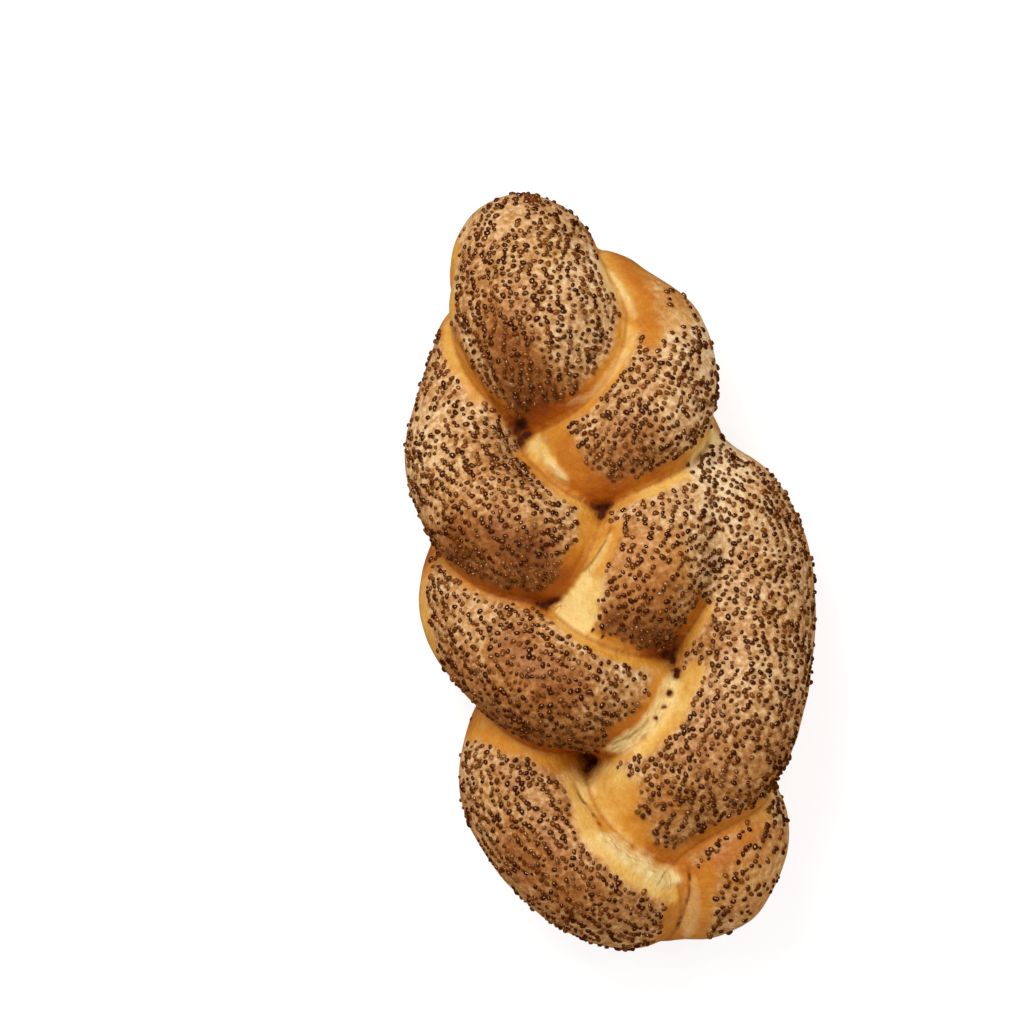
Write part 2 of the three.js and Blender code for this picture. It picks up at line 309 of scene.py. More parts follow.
def smooth_route(points):
    """A smooth line through the waypoints, as fine steps of place, half width and half height."""
    ends = np.vstack([2 * points[0] - points[1], points, 2 * points[-1] - points[-2]])
    t = np.linspace(0, 1, SPAN_STEPS, endpoint=False)[:, None]
    spans = []
    for before, start, stop, after in zip(ends, ends[1:], ends[2:], ends[3:]):
        leave = (stop - before) / 2
        arrive = (after - start) / 2
        bend = 3 * (stop - start) - 2 * leave - arrive
        twist = 2 * (start - stop) + leave + arrive
        spans.append(start + leave * t + bend * t**2 + twist * t**3)
    return np.vstack(spans + [points[-1:]])


def strand_route(index):
    lobes = LOBES[index::STRANDS]
    start, end = STARTS[index], ENDS[index]
    points = [waypoint(start["at"], start["top"], -PRESS, start["half"])]
    for lobe, following in zip(lobes, lobes[1:] + [None]):
        points += lobe_waypoints(lobe, following)
    points.append(waypoint(end["at"], end["top"], -PRESS, end["half"]))
    return smooth_route(np.array(points, float)) * MM


def unit(vectors):
    return vectors / np.linalg.norm(vectors, axis=1, keepdims=True)


def strand_sections(route, share):
    """Middle, half width, half height and the directions along, across and up, at shares of the
    strand's length."""
    steps = np.linalg.norm(np.diff(route[:, :3], axis=0), axis=1)
    length = np.concatenate([[0], np.cumsum(steps)])
    reach = TURN_REACH * MM

    def at(distance):
        inside = np.clip(distance, 0, length[-1])
        return np.stack([np.interp(inside, length, column) for column in route.T], axis=1)

    distance = share * length[-1]
    cut = at(distance)
    along = at(distance + reach)[:, :3] - at(distance - reach)[:, :3]
    along[:, 2] *= LEAN
    along = unit(along)
    across = unit(np.stack([along[:, 1], -along[:, 0], np.zeros(len(along))], axis=1))
    return cut[:, :3], cut[:, 3:4], cut[:, 4:5], along, across, np.cross(across, along)


def rolled_strand(route):
    """A ball drawn out along the strand's route, with round ends."""
    bm = bmesh.new()
    bmesh.ops.create_uvsphere(bm, u_segments=STRAND_ROUND, v_segments=STRAND_RINGS, radius=1)
    ball = places_of(bm)
    ring = np.arccos(np.clip(ball[:, 2], -1, 1)) / math.pi * STRAND_RINGS
    last = STRAND_RINGS - CAP_RINGS
    share = np.clip((ring - CAP_RINGS) / (last - CAP_RINGS), 0, 1)
    into_cap = np.maximum(ring - last, 0) - np.maximum(CAP_RINGS - ring, 0)
    bow = (into_cap / CAP_RINGS * math.pi / 2)[:, None]
    turn = np.arctan2(ball[:, 1], ball[:, 0])[:, None]
    middle, half, rise, along, across, up = strand_sections(route, share)
    places = middle + np.cos(bow) * (np.cos(turn) * half * across + np.sin(turn) * rise * up)
    places += np.sin(bow) * (half + rise) / 2 * along
    move_to(bm, places)
    return bm


def heart():
    """The crumb that the strands grow together with low inside the roll."""
    bm = bmesh.new()
    bmesh.ops.create_uvsphere(bm, u_segments=HEART_ROUND, v_segments=HEART_RINGS, radius=1)
    bmesh.ops.scale(bm, vec=Vector(HEART_HALF) * MM, verts=bm.verts)
    bmesh.ops.translate(bm, vec=Vector(HEART_AT) * MM, verts=bm.verts)
    return bm


def cut_flat(bm):
    """Cuts off what the tray flattens."""
    everything = bm.verts[:] + bm.edges[:] + bm.faces[:]
    bmesh.ops.bisect_plane(bm, geom=everything, plane_co=(0, 0, 0), plane_no=(0, 0, 1),
                           clear_inner=True)
    rims = [edge for edge in bm.edges if edge.is_boundary]
    bmesh.ops.holes_fill(bm, edges=rims, sides=0)


def joined_skin(shapes):
    """One closed skin of even facets around overlapping closed shapes."""
    gathered = bmesh.new()
    for shape in shapes:
        piece = bpy.data.meshes.new("piece")
        shape.to_mesh(piece)
        gathered.from_mesh(piece)
        bpy.data.meshes.remove(piece)
    raw = bpy.data.meshes.new("raw_dough")
    gathered.to_mesh(raw)
    gathered.free()
    dough = bpy.data.objects.new("raw_dough", raw)
    bpy.context.scene.collection.objects.link(dough)
    rise = dough.modifiers.new("joined", "REMESH")
    rise.mode = "VOXEL"
    rise.voxel_size = SKIN_FACET * MM
    depsgraph = bpy.context.evaluated_depsgraph_get()
    skin = bmesh.new()
    skin.from_mesh(dough.evaluated_get(depsgraph).to_mesh())
    bpy.data.objects.remove(dough)
    bpy.data.meshes.remove(raw)
    return skin


def flat_underside(bm):
    """Makes the underside one flat sheet of few facets."""
    low = [face for face in bm.faces if all(v.co.z < UNDERSIDE * MM for v in face.verts)]
    bmesh.ops.delete(bm, geom=low, context="FACES")
    rims = [edge for edge in bm.edges if edge.is_boundary]
    for edge in rims:
        for vert in edge.verts:
            vert.co.z = 0
    bmesh.ops.triangle_fill(bm, edges=rims, use_beauty=True)
    bmesh.ops.recalc_face_normals(bm, faces=bm.faces)


def relax(bm, verts, rounds, factor=0.5):
    for _ in range(rounds):
        bmesh.ops.smooth_vert(bm, verts=verts, factor=factor, use_axis_x=True, use_axis_y=True,
                              use_axis_z=True)


def places_of(bm):
    return np.array([v.co for v in bm.verts])


def normals_of(bm):
    bm.normal_update()
    return np.array([v.normal for v in bm.verts])


def move_to(bm, places):
    for vert, place in zip(bm.verts, places):
        vert.co = place


def mottle(places, grain, number, octaves=3):
    """Uneven values around 0, with patches of about the grain's size in millimetres."""
    shift = Vector((7.3, 3.1, 5.7)) * number
    return np.array([
        noise.fractal(Vector(place) / (grain * MM) + shift, 1.0, 2.0, octaves) for place in places
    ])


def ease(value, low, high):
    t = np.clip((value - low) / (high - low), 0, 1)
    return t * t * (3 - 2 * t)


def above(places, low, high):
    """0 up to the lower height in millimetres, 1 from the upper one."""
    return ease(places[:, 2], low * MM, high * MM)


def off_spot(places, at):
    return np.hypot(places[:, 0] / MM - at[0], places[:, 1] / MM - at[1])


def beside_line(places, line):
    """Distance in plan from a line of straight stretches, how far along it the nearest point lies,
    the line's length, all in millimetres, and 1 on the left of the line and -1 on its right."""
    flat = places[:, :2] / MM
    corners = np.array(line, float)
    runs = np.diff(corners, axis=0)
    lengths = np.linalg.norm(runs, axis=1)
    least = np.full(len(flat), 1e9)
    along = np.zeros(len(flat))
    side = np.ones(len(flat))
    for start, run, length, before in zip(corners, runs, lengths, np.cumsum(lengths) - lengths):
        t = np.clip((flat - start) @ run / length**2, 0, 1)
        off = np.linalg.norm(flat - start - t[:, None] * run, axis=1)
        nearer = off < least
        least = np.where(nearer, off, least)
        along = np.where(nearer, before + t * length, along)
        turn = run[0] * (flat - start)[:, 1] - run[1] * (flat - start)[:, 0]
        side = np.where(nearer, np.where(turn < 0, -1, 1), side)
    return least, along, lengths.sum(), side


def off_line(places, line):
    return beside_line(places, line)[0]


def tears(places):
    """1 in the middle of a tear and 0 outside it, the height of the crumb in it and how far along
    the tear each place lies."""
    share = np.zeros(len(places))
    crumb = np.zeros(len(places))
    run = np.zeros(len(places))
    beads = mottle(places, 1.8, 11, 2)
    for half, height, openness, line in TEARS:
        off, along, length, _ = beside_line(places, line)
        inward = np.minimum(along, length - along)
        width = half * (0.25 + 0.75 * ease(inward, 0, 4)) * (1 + 0.5 * beads)
        here = openness * (1 - ease(off / width, 0.3, 1.8)) * ease(inward, 0, 1.5)
        run = np.where(here > share, along, run)
        share = np.maximum(share, here)
        crumb = np.maximum(crumb, here * height)
    return share, crumb, run


def cracks(places):
    """How dark the painted shade of the nearest crack is and the distance across it, in half widths,
    with a sign that changes from one side of the crack to the other."""
    dark = np.zeros(len(places))
    across = np.full(len(places), 9.0)
    dashes = 0.45 + 0.55 * ease(mottle(places, 1.8, 9, 2), -0.35, 0.0)
    for half, darkness, line in CRACKS:
        off, along, length, side = beside_line(places, line)
        nearer = off / half < abs(across)
        inward = np.minimum(along, length - along)
        dark = np.where(nearer, darkness * dashes * ease(inward, 0, 1.5), dark)
        across = np.where(nearer, side * off / half, across)
    return dark, across


def strand_gaps(places, trees):
    """The strand that each place belongs to, its distances to the two other strands in
    millimetres, the nearer one first, and the first distance with a sign that changes from one
    side of a crease to the other."""
    reach = np.array([[tree.find_nearest(place)[3] for tree in trees] for place in places])
    order = reach.argsort(axis=1)
    near_first = np.sort(reach, axis=1) / MM
    onward = (order[:, 1] - order[:, 0]) % STRANDS == 1
    across = np.where(onward, 1, -1) * (near_first[:, 1] - near_first[:, 0])
    return order[:, 0], near_first[:, 1], near_first[:, 2], across


def row_headings(places, strand):
    """The direction that rows of seeds take: along the strand, swinging gently to its sides."""
    headings = np.zeros((len(places), 3))
    for index in range(STRANDS):
        route = strand_route(index)[:, :3]
        along = unit(np.gradient(route, axis=0))
        nearest = KDTree(len(route))
        for number, point in enumerate(route):
            nearest.insert(point, number)
        nearest.balance()
        own = np.flatnonzero(strand == index)
        headings[own] = along[[nearest.find(place)[1] for place in places[own]]]
    swing = ROW_TURN * mottle(places, 22, 10, 2)
    x, y = headings[:, 0].copy(), headings[:, 1].copy()
    headings[:, 0] = x * np.cos(swing) - y * np.sin(swing)
    headings[:, 1] = x * np.sin(swing) + y * np.cos(swing)
    return headings


def spread(bm, values, rounds=2):
    """Values evened out over neighbouring corners of the mesh."""
    ends = np.array([[v.index for v in edge.verts] for edge in bm.edges])
    count = np.bincount(ends.ravel(), minlength=len(values)) + 1
    for _ in range(rounds):
        total = values + np.bincount(ends[:, 0], values[ends[:, 1]], len(values))
        total += np.bincount(ends[:, 1], values[ends[:, 0]], len(values))
        values = total / count
    return values


def paint(mesh, name, values):
    layer = mesh.attributes.new(name, "FLOAT", "POINT")
    layer.data.foreach_set("value", np.asarray(values, np.float32))


def shown(name, mesh, material):
    piece = bpy.data.objects.new(name, mesh)
    bpy.context.scene.collection.objects.link(piece)
    mesh.materials.append(material)
    return piece


def fill_valleys(skin):
    """Smooths the skin where lobes rose into one another, most along the middle of the valley."""
    places = places_of(skin)
    for half, filled, line in VALLEYS:
        valley = off_line(places, line)
        for share, rounds in VALLEY_BANDS:
            inside = [
                vert for vert, off in zip(skin.verts, valley)
                if off < share * half and vert.co.z > VALLEY_FOOT * MM
            ]
            relax(skin, inside, round(rounds * filled))


def plaited_skin():
    """The plait's skin before its crust rises, and a search tree for each strand."""
    strands = [rolled_strand(strand_route(index)) for index in range(STRANDS)]
    trees = [BVHTree.FromBMesh(strand) for strand in strands]
    shapes = strands + [heart()]
    for shape in shapes:
        cut_flat(shape)
    skin = joined_skin(shapes)
    for shape in shapes:
        shape.free()
    relax(skin, skin.verts, 3)
    flat_underside(skin)
    fill_valleys(skin)
    return skin, trees


def seeded_valley(places):
    """1 in the valley that seeds lie in."""
    half, _, line = VALLEYS[0]
    valley = 1 - ease(off_line(places, line), half * 0.8, half * 1.4)
    half, line = FILLED
    return np.maximum(valley, 1 - ease(off_line(places, line), half * 0.6, half))


def bare_stretches(places, strand, ragged):
    """Where no seeds stuck, how pale the crust stayed there and how far it sank."""
    bare = np.zeros(len(places))
    pale = np.zeros(len(places))
    sunk = np.zeros(len(places))
    for owner, half, paleness, depth, line in BARE:
        off = off_line(places, line) + 0.9 * ragged
        own = strand == owner
        bare = np.maximum(bare, (1 - ease(off, half * 0.85, half * 1.15 + 0.2)) * own)
        tint = paleness * (1 - ease(off, half * 0.7, half * 1.5)) * own
        pale = np.where(abs(tint) > abs(pale), tint, pale)
        sunk = np.maximum(sunk, depth * (1 - ease(off, half * 0.7, half * 1.3)) * own)
    return bare, pale * above(places, 9, 16), sunk


class Dough:
    """The plait's skin, and what each of its corners lies on or beside."""

    def __init__(self):
        self.skin, trees = plaited_skin()
        self.survey()
        places = self.places
        self.strand, self.gap, self.far_gap, self.across = strand_gaps(places, trees)
        self.valley = seeded_valley(places)
        self.tail = ease(-places[:, 1], TAIL_FROM * MM, TAIL_WHOLE * MM)
        self.upper = above(places, 8, 14) * ease(self.normals[:, 2], -0.2, 0.3)
        self.torn, self.crumb, self.run = tears(places)
        self.torn *= above(places, 5, 12) * (1 - ease(self.gap, 3.5, 5.5))
        self.crack, self.crack_across = cracks(places)
        self.crack *= above(places, 6, 13)
        self.ragged = mottle(places, 3.5, 8)
        self.bare, self.pale, self.sunk = bare_stretches(places, self.strand, self.ragged)

    def survey(self):
        self.places = places_of(self.skin)
        self.normals = normals_of(self.skin)
        self.south = -self.normals[:, 1]
        self.height = self.places[:, 2] / MM

    def rise(self):
        """Gives the skin its lumps, torn crumb, creases and cracks, and then the deep corners and
        small holes, which it also marks for the painted shade that darkens them."""
        places, gap, torn, upper = self.places, self.gap, self.torn, self.upper
        lumps = sum(height * mottle(places, grain, number, 2) for height, grain, number in LUMPS)
        fibres = mottle(places, 1.3, 3)
        groove = upper * (1 - self.valley) * (1 - self.tail) * (1 - ease(gap, 0.0, 1.2))
        lift = above(places, 0.2, 6) * (lumps * (1 - torn) - SKIN_SINK)
        lift += torn * (self.crumb * (1 + 0.5 * fibres) + 0.1 * fibres)
        lift -= GROOVE_DEPTH * groove * (1 - torn) + self.sunk * upper
        lift -= CRACK_DEPTH * self.crack * (1 - ease(abs(self.crack_across), 0.6, 2.4))
        places = places + self.normals * (lift * MM)[:, None]

        corner = upper * (1 - ease(self.far_gap, 0.5, CORNER_REACH))
        corner *= 1 - ease(gap, 0.1, CORNER_HALF)
        at, reach = CORNER_FILLED
        corner *= (1 - 0.75 * self.tail) * ease(off_spot(places, at), reach * 0.6, reach)
        places[:, 2] -= CORNER_DEPTH * corner * MM
        self.deep = corner
        for at, radius, depth in PITS:
            dip = np.exp(-(off_spot(places, at) / radius) ** 2)
            places[:, 2] -= depth * dip * upper * MM
            self.deep = np.maximum(self.deep, dip * upper)
        places[:, 2] = np.maximum(places[:, 2], 0)
        move_to(self.skin, places)

        verts = self.skin.verts
        relax(self.skin, [v for v in verts if v.co.z > RIM * MM], 1, 0.3)
        creased = [v for v, off in zip(verts, gap) if off < 1.2 and v.co.z > RIM * MM]
        relax(self.skin, creased, 3)
        self.survey()
        self.patches = mottle(self.places, 9, 4)

    def browning_and_shade(self):
        """How dark the crust is painted, from 0 for pale to 1 for nearly burnt: its browning, with
        painted shade and painted light laid over it.
        """
        south, height = self.south, self.height
        # Darker in the corners between lobes and on the sides that face the tail, away from the key
        # lamp: partly browning, partly painted shade
        cornered = 1 - ease(self.far_gap, 3, 15)
        enclosed_shade = 0.14 * (1 - ease(self.gap, 3, 14))
        enclosed_shade *= (1 - self.tail) * (1 - self.valley) * (0.35 + 0.65 * cornered)
        bake_and_shade = 0.36 + enclosed_shade * ease(south, -0.05, 0.6)
        bake_and_shade += (1 - 0.6 * self.tail) * (0.17 * ease(south, -0.5, 0.8) - 0.005)
        # More on the crests, where the crust browned most, and less in the creases on the sides that
        # face the top end and the key lamp: painted light there
        beside = 1 - ease(self.gap, 0.8, 4.0)
        bake_and_shade += 0.08 * (ease(height, 22, 40) - 0.5) - 0.10 * beside * ease(-south, -0.3, 0.3)
        # More low on the sides, as painted shade where little light reaches them, and in random
        # patches
        fine = mottle(self.places, 2.5, 5)
        bake_and_shade += 0.15 * (1 - ease(height, 8, 20)) + 0.08 * self.patches + 0.06 * fine
        bake_and_shade -= 0.38 * self.pale
        for change, half, line in TONES:
            bake_and_shade += change * (1 - ease(off_line(self.places, line), half * 0.4, half * 1.3))
        # The underside is evenly brown
        return np.where(height < 0.5, 0.75, bake_and_shade)

    def seeding(self):
        """How thick the seeds lie, and how far the crust has the tan that goes with them."""
        places, gap, south = self.places, self.gap, self.south
        facing_up = self.normals[:, 2]
        margin = SEED_MARGIN + SEED_MARGIN_BELOW * ease(south, 0.1, 0.6)
        for owner, share, half, line in CLOSER:
            near = 1 - ease(off_line(places, line), half * 0.8, half * 1.2)
            margin *= 1 - (1 - share) * near * (self.strand == owner)
        strewn = ease(gap + 0.8 * self.ragged - margin, -0.3, 0.3)
        strewn = np.maximum(strewn, self.valley) * (1 - self.bare)
        strewn *= ease(self.height + 3 * self.patches, 7, 14) * ease(facing_up, -0.1, 0.1)
        strewn *= (1 - ease(self.torn, 0.02, 0.2)) * ease(abs(self.crack_across), 1.5, 3)
        tan = np.maximum(strewn, 0.4 * (1 - ease(self.height, 9, 18)))
        for at, radius, missing in SPARSE:
            near = 1 - ease(off_spot(places, at), radius * 0.6, radius * 1.1)
            strewn *= 1 - missing * near
            tan *= 1 - 1.3 * max(missing - 0.3, 0) * near
        rim = (1 - ease(gap - margin, 1.2, 4.5)) * ease(south, 0.15, 0.45)
        rim = rim * (1 - self.valley) * (1 - self.tail)
        strewn *= 1 + SEED_CROWD * rim
        strewn *= 0.1 + 0.9 * np.clip(facing_up, 0, 1)
        strewn *= 0.7 + 0.3 * ease(mottle(places, 2.6, 7, 2), -0.3, 0.15)
        return strewn, tan


def baked_crust(material):
    """The crust, with what its finish follows painted on its mesh. Also gives the places of its
    corners, how thick the seeds lie at each and the direction of their rows."""
    dough = Dough()
    dough.rise()
    skin = dough.skin
    skin.verts.index_update()
    # The crust's browning together with its painted shade and painted light, evened out
    bake_and_shade = spread(skin, dough.browning_and_shade())
    strewn, tan = dough.seeding()
    # The creases get a thin line painted darker brown: painted shade in the crease
    crease = dough.upper * (1 - dough.valley) * (1 - dough.torn) * (1 - ease(dough.gap, 0.8, 1.6))
    coats = {
        "bake_and_shade": np.clip(bake_and_shade, 0, 1),
        "torn": spread(skin, dough.torn),
        "seeded": spread(skin, tan, 3),
        "deep": dough.deep,
        "run": dough.run,
        "across": np.clip(dough.across, -3, 3),
        "crack": dough.crack,
        "crack_across": dough.crack_across,
        "crease": crease * (1 - 0.15 * dough.tail),
    }
    mesh = bpy.data.meshes.new("braided_crust")
    skin.to_mesh(mesh)
    skin.free()
    mesh.shade_smooth()
    for name, values in coats.items():
        paint(mesh, name, values)
    crust = shown("braided_crust", mesh, material)
    return crust, dough.places, strewn, row_headings(dough.places, dough.strand)


def seed_spots(crust, places, strewn, flow, draw):
    """Spots for the seeds, in uneven rows as they stick to the wet dough, at least a seed's width
    apart. Each has the crust's normal and the heading of its row."""
    mesh = crust.data
    mesh.calc_loop_triangles()
    corners = np.zeros(len(mesh.loop_triangles) * 3, np.int32)
    mesh.loop_triangles.foreach_get("vertices", corners)
    corners = corners.reshape(-1, 3)
    a, b, c = (places[corners[:, k]] for k in range(3))
    cross = np.cross(b - a, c - a)
    here = strewn[corners].mean(axis=1)
    chance = np.linalg.norm(cross, axis=1) * here
    picked = draw.choice(len(corners), SEED_ROWS, p=chance / chance.sum())
    surface = BVHTree.FromPolygons(places.tolist(), corners.tolist())
    cell = ROW_SPACING * MM
    taken = {}
    kept = []
    for face in picked:
        weights = draw.dirichlet((1, 1, 1))
        spot = weights[0] * a[face] + weights[1] * b[face] + weights[2] * c[face]
        onward = draw.choice((-1, 1))
        for _ in range(draw.geometric(ROW_END)):
            landed, up, index, _ = surface.find_nearest(spot)
            landed = np.array(landed)
            heading = onward * flow[corners[index, 0]] + ROW_WOBBLE * draw.normal(size=3)
            heading -= np.array(up) * (heading @ np.array(up))
            heading /= np.linalg.norm(heading)
            key = tuple(np.floor(landed / cell).astype(int))
            near = [
                other for dx in (-1, 0, 1) for dy in (-1, 0, 1) for dz in (-1, 0, 1)
                for other in taken.get((key[0] + dx, key[1] + dy, key[2] + dz), ())
            ]
            apart = np.array([kept[other][0] - landed for other in near]).reshape(-1, 3)
            ahead = apart @ heading
            beside = np.sum(apart**2, axis=1) - ahead**2
            room = np.all((ahead / SEED_SPACING) ** 2 + beside / ROW_SPACING**2 > MM**2)
            if room and draw.random() < SEED_HOLD * here[index]:
                taken.setdefault(key, []).append(len(kept))
                kept.append((landed, np.array(up), heading))
            stride = SEED_SPACING * MM * (ROW_STEP + ROW_STEP_MORE * draw.random())
            spot = landed + stride * heading
        if len(kept) >= SEED_COUNT:
            break
    return [np.array(column) for column in zip(*kept)]


def seed_shape():
    """One seed: a small kidney."""
    bm = bmesh.new()
    bmesh.ops.create_uvsphere(bm, u_segments=SEED_ROUND, v_segments=SEED_RINGS, radius=1)
    bmesh.ops.rotate(bm, verts=bm.verts, cent=(0, 0, 0),
                     matrix=Matrix.Rotation(math.pi / 2, 3, "Y"))
    for vert in bm.verts:
        vert.co.y -= SEED_BEND * (1 - vert.co.x**2)
    bmesh.ops.translate(bm, vec=(0, SEED_BEND / 2, 0), verts=bm.verts)
    bmesh.ops.scale(bm, vec=Vector(SEED_HALF) * MM, verts=bm.verts)
    return bm


def strewn_seeds(name, spots, normals, headings, tones, material, draw):
    """Seeds that lie on the crust, each turned and tipped its own way, as one joined mesh."""
    count = len(spots)
    tipped = unit(normals + SEED_TIP * draw.normal(size=(count, 3)))
    side = unit(np.cross(tipped, headings + SEED_TURN * draw.normal(size=(count, 3))))
    other = np.cross(tipped, side)
    size = 1 + SEED_UNEVEN * (2 * draw.random((count, 1, 1)) - 1)
    poses = np.tile(np.eye(4), (count, 1, 1))
    poses[:, :3, :3] = size * np.stack([side, other, tipped], axis=2)
    poses[:, :3, 3] = spots + normals * SEED_LIFT * MM

    seed = seed_shape()
    gathered = bmesh.new()
    single = bpy.data.meshes.new("seed")
    for pose in poses:
        placed = seed.copy()
        bmesh.ops.transform(placed, matrix=Matrix(pose), verts=placed.verts)
        placed.to_mesh(single)
        placed.free()
        gathered.from_mesh(single)
    bpy.data.meshes.remove(single)
    mesh = bpy.data.meshes.new(name)
    gathered.to_mesh(mesh)
    gathered.free()
    mesh.shade_smooth()
    paint(mesh, "tone", np.repeat(tones, len(seed.verts)))
    seed.free()
    return shown(name, mesh, material)


def srgb(*channels):
    """A colour as a screen shows it, made linear."""
    parts = [c / 255 for c in channels]
    return [p / 12.92 if p <= 0.04045 else ((p + 0.055) / 1.055) ** 2.4 for p in parts] + [1]


class Finish:
    """A node material and the few steps that these finishes are made of."""

    def __init__(self, name):
        self.material = bpy.data.materials.new(name)
        self.material.use_nodes = True
        self.tree = self.material.node_tree
        self.shader = self.tree.nodes["Principled BSDF"]
        self.object_coords = self.tree.nodes.new("ShaderNodeTexCoord").outputs["Object"]

    def link(self, source, target):
        self.tree.links.new(source, target)

    def attribute(self, name):
        node = self.tree.nodes.new("ShaderNodeAttribute")
        node.attribute_name = name
        return node.outputs["Fac"]

    def speckle(self, grain, detail=3, roughness=0.55):
        node = self.tree.nodes.new("ShaderNodeTexNoise")
        node.inputs["Scale"].default_value = 1 / (grain * MM)
        node.inputs["Detail"].default_value = detail
        node.inputs["Roughness"].default_value = roughness
        self.link(self.object_coords, node.inputs["Vector"])
        return node.outputs["Fac"]

    def sum(self, first, second, share):
        """first + (second - 0.5) * share"""
        node = self.tree.nodes.new("ShaderNodeMath")
        node.operation = "MULTIPLY_ADD"
        self.link(second, node.inputs[0])
        node.inputs[1].default_value = share
        shifted = self.tree.nodes.new("ShaderNodeMath")
        shifted.operation = "SUBTRACT"
        self.link(first, shifted.inputs[0])
        shifted.inputs[1].default_value = share / 2
        self.link(shifted.outputs[0], node.inputs[2])
        return node.outputs[0]

    def streaks(self, length, width, length_grain, width_grain):
        """Noise drawn out across a line, from attributes along it and across it in millimetres."""
        node = self.tree.nodes.new("ShaderNodeCombineXYZ")
        for axis, name, grain in (("X", length, length_grain), ("Y", width, width_grain)):
            self.link(self.scaled(self.attribute(name), 0, grain, 0, 1, False), node.inputs[axis])
        field = self.tree.nodes.new("ShaderNodeTexNoise")
        field.inputs["Scale"].default_value = 1
        field.inputs["Detail"].default_value = 3
        self.link(node.outputs[0], field.inputs["Vector"])
        return field.outputs["Fac"]

    def size(self, value):
        node = self.tree.nodes.new("ShaderNodeMath")
        node.operation = "ABSOLUTE"
        self.link(value, node.inputs[0])
        return node.outputs[0]

    def times(self, first, second):
        node = self.tree.nodes.new("ShaderNodeMath")
        node.operation = "MULTIPLY"
        self.link(first, node.inputs[0])
        self.link(second, node.inputs[1])
        return node.outputs[0]

    def ramp(self, value, stops):
        node = self.tree.nodes.new("ShaderNodeValToRGB")
        elements = node.color_ramp.elements
        while len(elements) < len(stops):
            elements.new(0.5)
        for element, (position, colour) in zip(elements, stops):
            element.position = position
            element.color = colour
        self.link(value, node.inputs["Fac"])
        return node.outputs["Color"]

    def scaled(self, value, low, high, out_low, out_high, within=True):
        node = self.tree.nodes.new("ShaderNodeMapRange")
        node.clamp = within
        self.link(value, node.inputs["Value"])
        for socket, number in zip(("From Min", "From Max", "To Min", "To Max"),
                                  (low, high, out_low, out_high)):
            node.inputs[socket].default_value = number
        return node.outputs["Result"]

    def mix(self, factor, first, second):
        node = self.tree.nodes.new("ShaderNodeMix")
        node.data_type = "RGBA"
        self.link(factor, node.inputs["Factor"])
        self.link(first, node.inputs[6])
        self.link(second, node.inputs[7])
        return node.outputs[2]

    def bump(self, height, distance):
        node = self.tree.nodes.new("ShaderNodeBump")
        node.inputs["Strength"].default_value = 1
        node.inputs["Distance"].default_value = distance * MM
        self.link(height, node.inputs["Height"])
        self.link(node.outputs["Normal"], self.shader.inputs["Normal"])


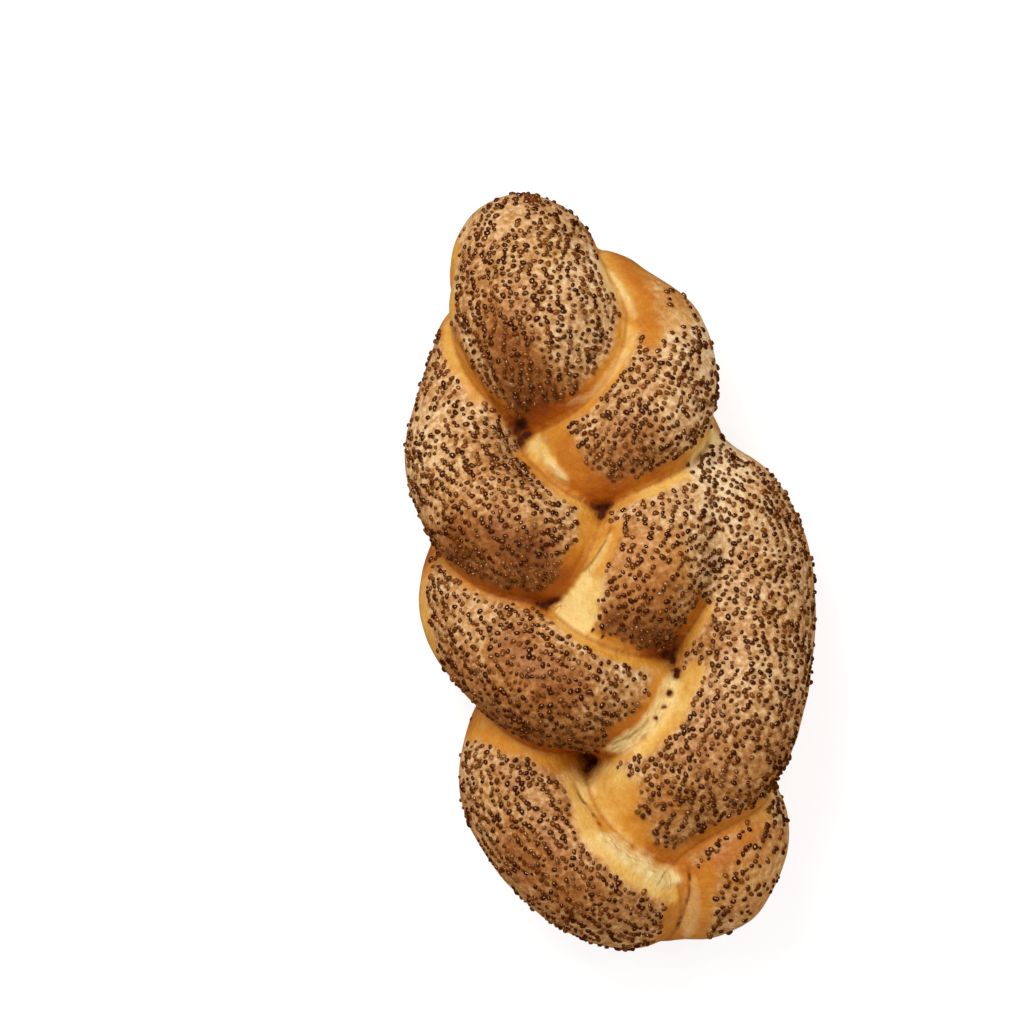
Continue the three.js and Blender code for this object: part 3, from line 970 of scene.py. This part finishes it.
def crust_finish():
    finish = Finish("baked_crust")
    # The crust's colour follows its browning, which carries painted shade and painted light as well
    bake_and_shade = finish.sum(finish.attribute("bake_and_shade"), finish.speckle(1.4), 0.22)
    # A finer speckle on top: partly the crust's own mottle, partly painted glints of the glaze
    bake_and_shade = finish.sum(bake_and_shade, finish.speckle(0.5, 2), 0.16)
    brown = finish.ramp(bake_and_shade, [
        (0.0, srgb(250, 212, 132)),
        (0.12, srgb(236, 184, 92)),
        (0.27, srgb(218, 148, 52)),
        (0.44, srgb(199, 118, 28)),
        (0.62, srgb(174, 88, 14)),
        (0.82, srgb(139, 62, 8)),
        (1.0, srgb(100, 36, 4)),
    ])
    # Where seeds lie the crust is tan with strong speckle: partly its own mottle, partly painted
    # shade around the seeds and painted glints of the glaze
    tan = finish.ramp(finish.sum(bake_and_shade, finish.speckle(1.2, 4, 0.6), 1.3), [
        (0.0, srgb(252, 224, 180)),
        (0.2, srgb(231, 188, 135)),
        (0.42, srgb(190, 135, 79)),
        (0.62, srgb(147, 95, 47)),
        (0.88, srgb(103, 57, 22)),
    ])
    torn = finish.scaled(finish.attribute("torn"), 0.1, 0.8, 0, 1)
    fibres = finish.streaks("run", "across", 2.2, 0.5)
    crumb = finish.ramp(finish.sum(fibres, finish.speckle(0.9), 0.5), [
        (0.2, srgb(216, 168, 94)),
        (0.42, srgb(236, 196, 122)),
        (0.7, srgb(248, 222, 156)),
    ])
    tanned = finish.scaled(finish.attribute("bake_and_shade"), 0.3, 0.62, 0.92, 0.62)
    seeded = finish.times(finish.attribute("seeded"), tanned)
    colour = finish.mix(torn, finish.mix(seeded, brown, tan), crumb)
    # A thin line along the creases is painted darker brown: painted shade in the crease, over its
    # real groove
    crease_off = finish.size(finish.attribute("across"))
    crease = finish.times(finish.scaled(crease_off, 0.1, 0.6, 1, 0), finish.attribute("crease"))
    crease = finish.scaled(finish.sum(crease, finish.speckle(3), 0.4), 0.1, 1, 0, 0.6)
    colour = finish.mix(crease, colour, finish.ramp(bake_and_shade, [
        (0.2, srgb(176, 96, 24)),
        (0.7, srgb(104, 42, 6)),
    ]))
    # Cracks are painted dark brown: painted shade in the narrow gaps, over their real dip
    crack_off = finish.size(finish.attribute("crack_across"))
    crack = finish.times(finish.scaled(crack_off, 0.4, 1.3, 1, 0), finish.attribute("crack"))
    colour = finish.mix(crack, colour, finish.ramp(finish.speckle(1.2), [
        (0.3, srgb(84, 34, 6)),
        (0.7, srgb(126, 62, 16)),
    ]))
    # Deep corners and small holes are painted dark brown to near black: painted shade, over their
    # real dip
    deep = finish.attribute("deep")
    painted_hollow_shade = finish.ramp(deep, [
        (0.2, srgb(160, 78, 14)),
        (0.5, srgb(112, 46, 6)),
        (0.9, srgb(60, 20, 2)),
    ])
    colour = finish.mix(finish.scaled(deep, 0.1, 0.6, 0, 1), colour, painted_hollow_shade)
    finish.link(colour, finish.shader.inputs["Base Color"])
    matt = finish.sum(finish.sum(torn, finish.speckle(3), 0.4), deep, 2)
    finish.link(finish.scaled(matt, -1, 0, 0.34, 0.85), finish.shader.inputs["Roughness"])
    finish.shader.inputs["Specular IOR Level"].default_value = 0.25
    finish.bump(finish.sum(finish.speckle(1.1, 4, 0.6), finish.times(torn, fibres), 0.9), 0.35)
    return finish.material


def seed_finish(name, stops):
    finish = Finish(name)
    tone = finish.sum(finish.attribute("tone"), finish.speckle(0.5, 2), 0.9)
    finish.link(finish.ramp(tone, stops), finish.shader.inputs["Base Color"])
    finish.shader.inputs["Roughness"].default_value = 0.15
    finish.shader.inputs["IOR"].default_value = 1.7
    finish.shader.inputs["Specular IOR Level"].default_value = 0.75
    finish.shader.inputs["Specular Tint"].default_value = (1, 0.76, 0.54, 1)
    finish.bump(finish.speckle(0.22, 1), 0.05)
    return finish.material


def floor_finish():
    finish = Finish("pale_floor")
    tint = finish.ramp(finish.speckle(80, 1), [
        (0.0, (0.28, 0.28, 0.28, 1)),
        (1.0, (0.31, 0.31, 0.31, 1)),
    ])
    finish.link(tint, finish.shader.inputs["Base Color"])
    finish.shader.inputs["Roughness"].default_value = 0.9
    finish.shader.inputs["Emission Color"].default_value = (1, 1, 1, 1)
    finish.shader.inputs["Emission Strength"].default_value = 0.8
    return finish.material


def studio():
    """The floor, the soft light and the camera, straight above the picture's middle."""
    bm = bmesh.new()
    bmesh.ops.create_grid(bm, x_segments=1, y_segments=1, size=FLOOR_HALF)
    sheet = bpy.data.meshes.new("floor")
    bm.to_mesh(sheet)
    bm.free()
    floor = shown("floor", sheet, floor_finish())
    floor.visible_glossy = False

    scene = bpy.context.scene
    world = bpy.data.worlds.new("studio")
    world.use_nodes = True
    sky = world.node_tree.nodes["Background"]
    sky.inputs["Color"].default_value = (1, 1, 1, 1)
    sky.inputs["Strength"].default_value = SKY_STRENGTH
    world.cycles_visibility.glossy = False  # only the lamps shine in the glaze and on the seeds
    scene.world = world
    scene.view_settings.view_transform = "Standard"

    for name, place, size, power in LAMPS:
        lamp = bpy.data.lights.new(name, "AREA")
        lamp.size = size
        lamp.energy = power
        light = bpy.data.objects.new(name, lamp)
        light.location = place
        light.rotation_euler = (-Vector(place)).to_track_quat("-Z", "Y").to_euler()
        scene.collection.objects.link(light)

    lens = bpy.data.cameras.new("camera")
    lens.sensor_width = SENSOR
    lens.lens = LENS
    camera = bpy.data.objects.new("camera", lens)
    camera.location = CAMERA_AT
    camera.rotation_euler = (0, 0, math.radians(CAMERA_TURN))
    scene.collection.objects.link(camera)
    scene.camera = camera


studio()
draw = np.random.default_rng(SEED_DRAW)
crust, crust_places, strewn, flow = baked_crust(crust_finish())
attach(crust, "root")
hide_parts("braided_roll")

spots, normals, headings = seed_spots(crust, crust_places, strewn, flow, draw)
tones = draw.random(len(spots))
dark_brown = seed_finish("dark_seeds", [
    (0.1, srgb(68, 22, 0)),
    (0.5, srgb(98, 41, 1)),
    (1.0, srgb(140, 76, 22)),
])
slate = seed_finish("slate_seeds", [
    (0.1, srgb(64, 23, 0)),
    (0.5, srgb(92, 43, 5)),
    (0.8, srgb(120, 68, 24)),
    (1.0, srgb(156, 106, 60)),
])
is_slate = draw.random(len(spots)) < SLATE_SHARE
for name, chosen, material in (
    ("poppy_seeds_dark", ~is_slate, dark_brown),
    ("poppy_seeds_slate", is_slate, slate),
):
    seeds = strewn_seeds(name, spots[chosen], normals[chosen], headings[chosen], tones[chosen],
                         material, draw)
    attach(seeds, "root")
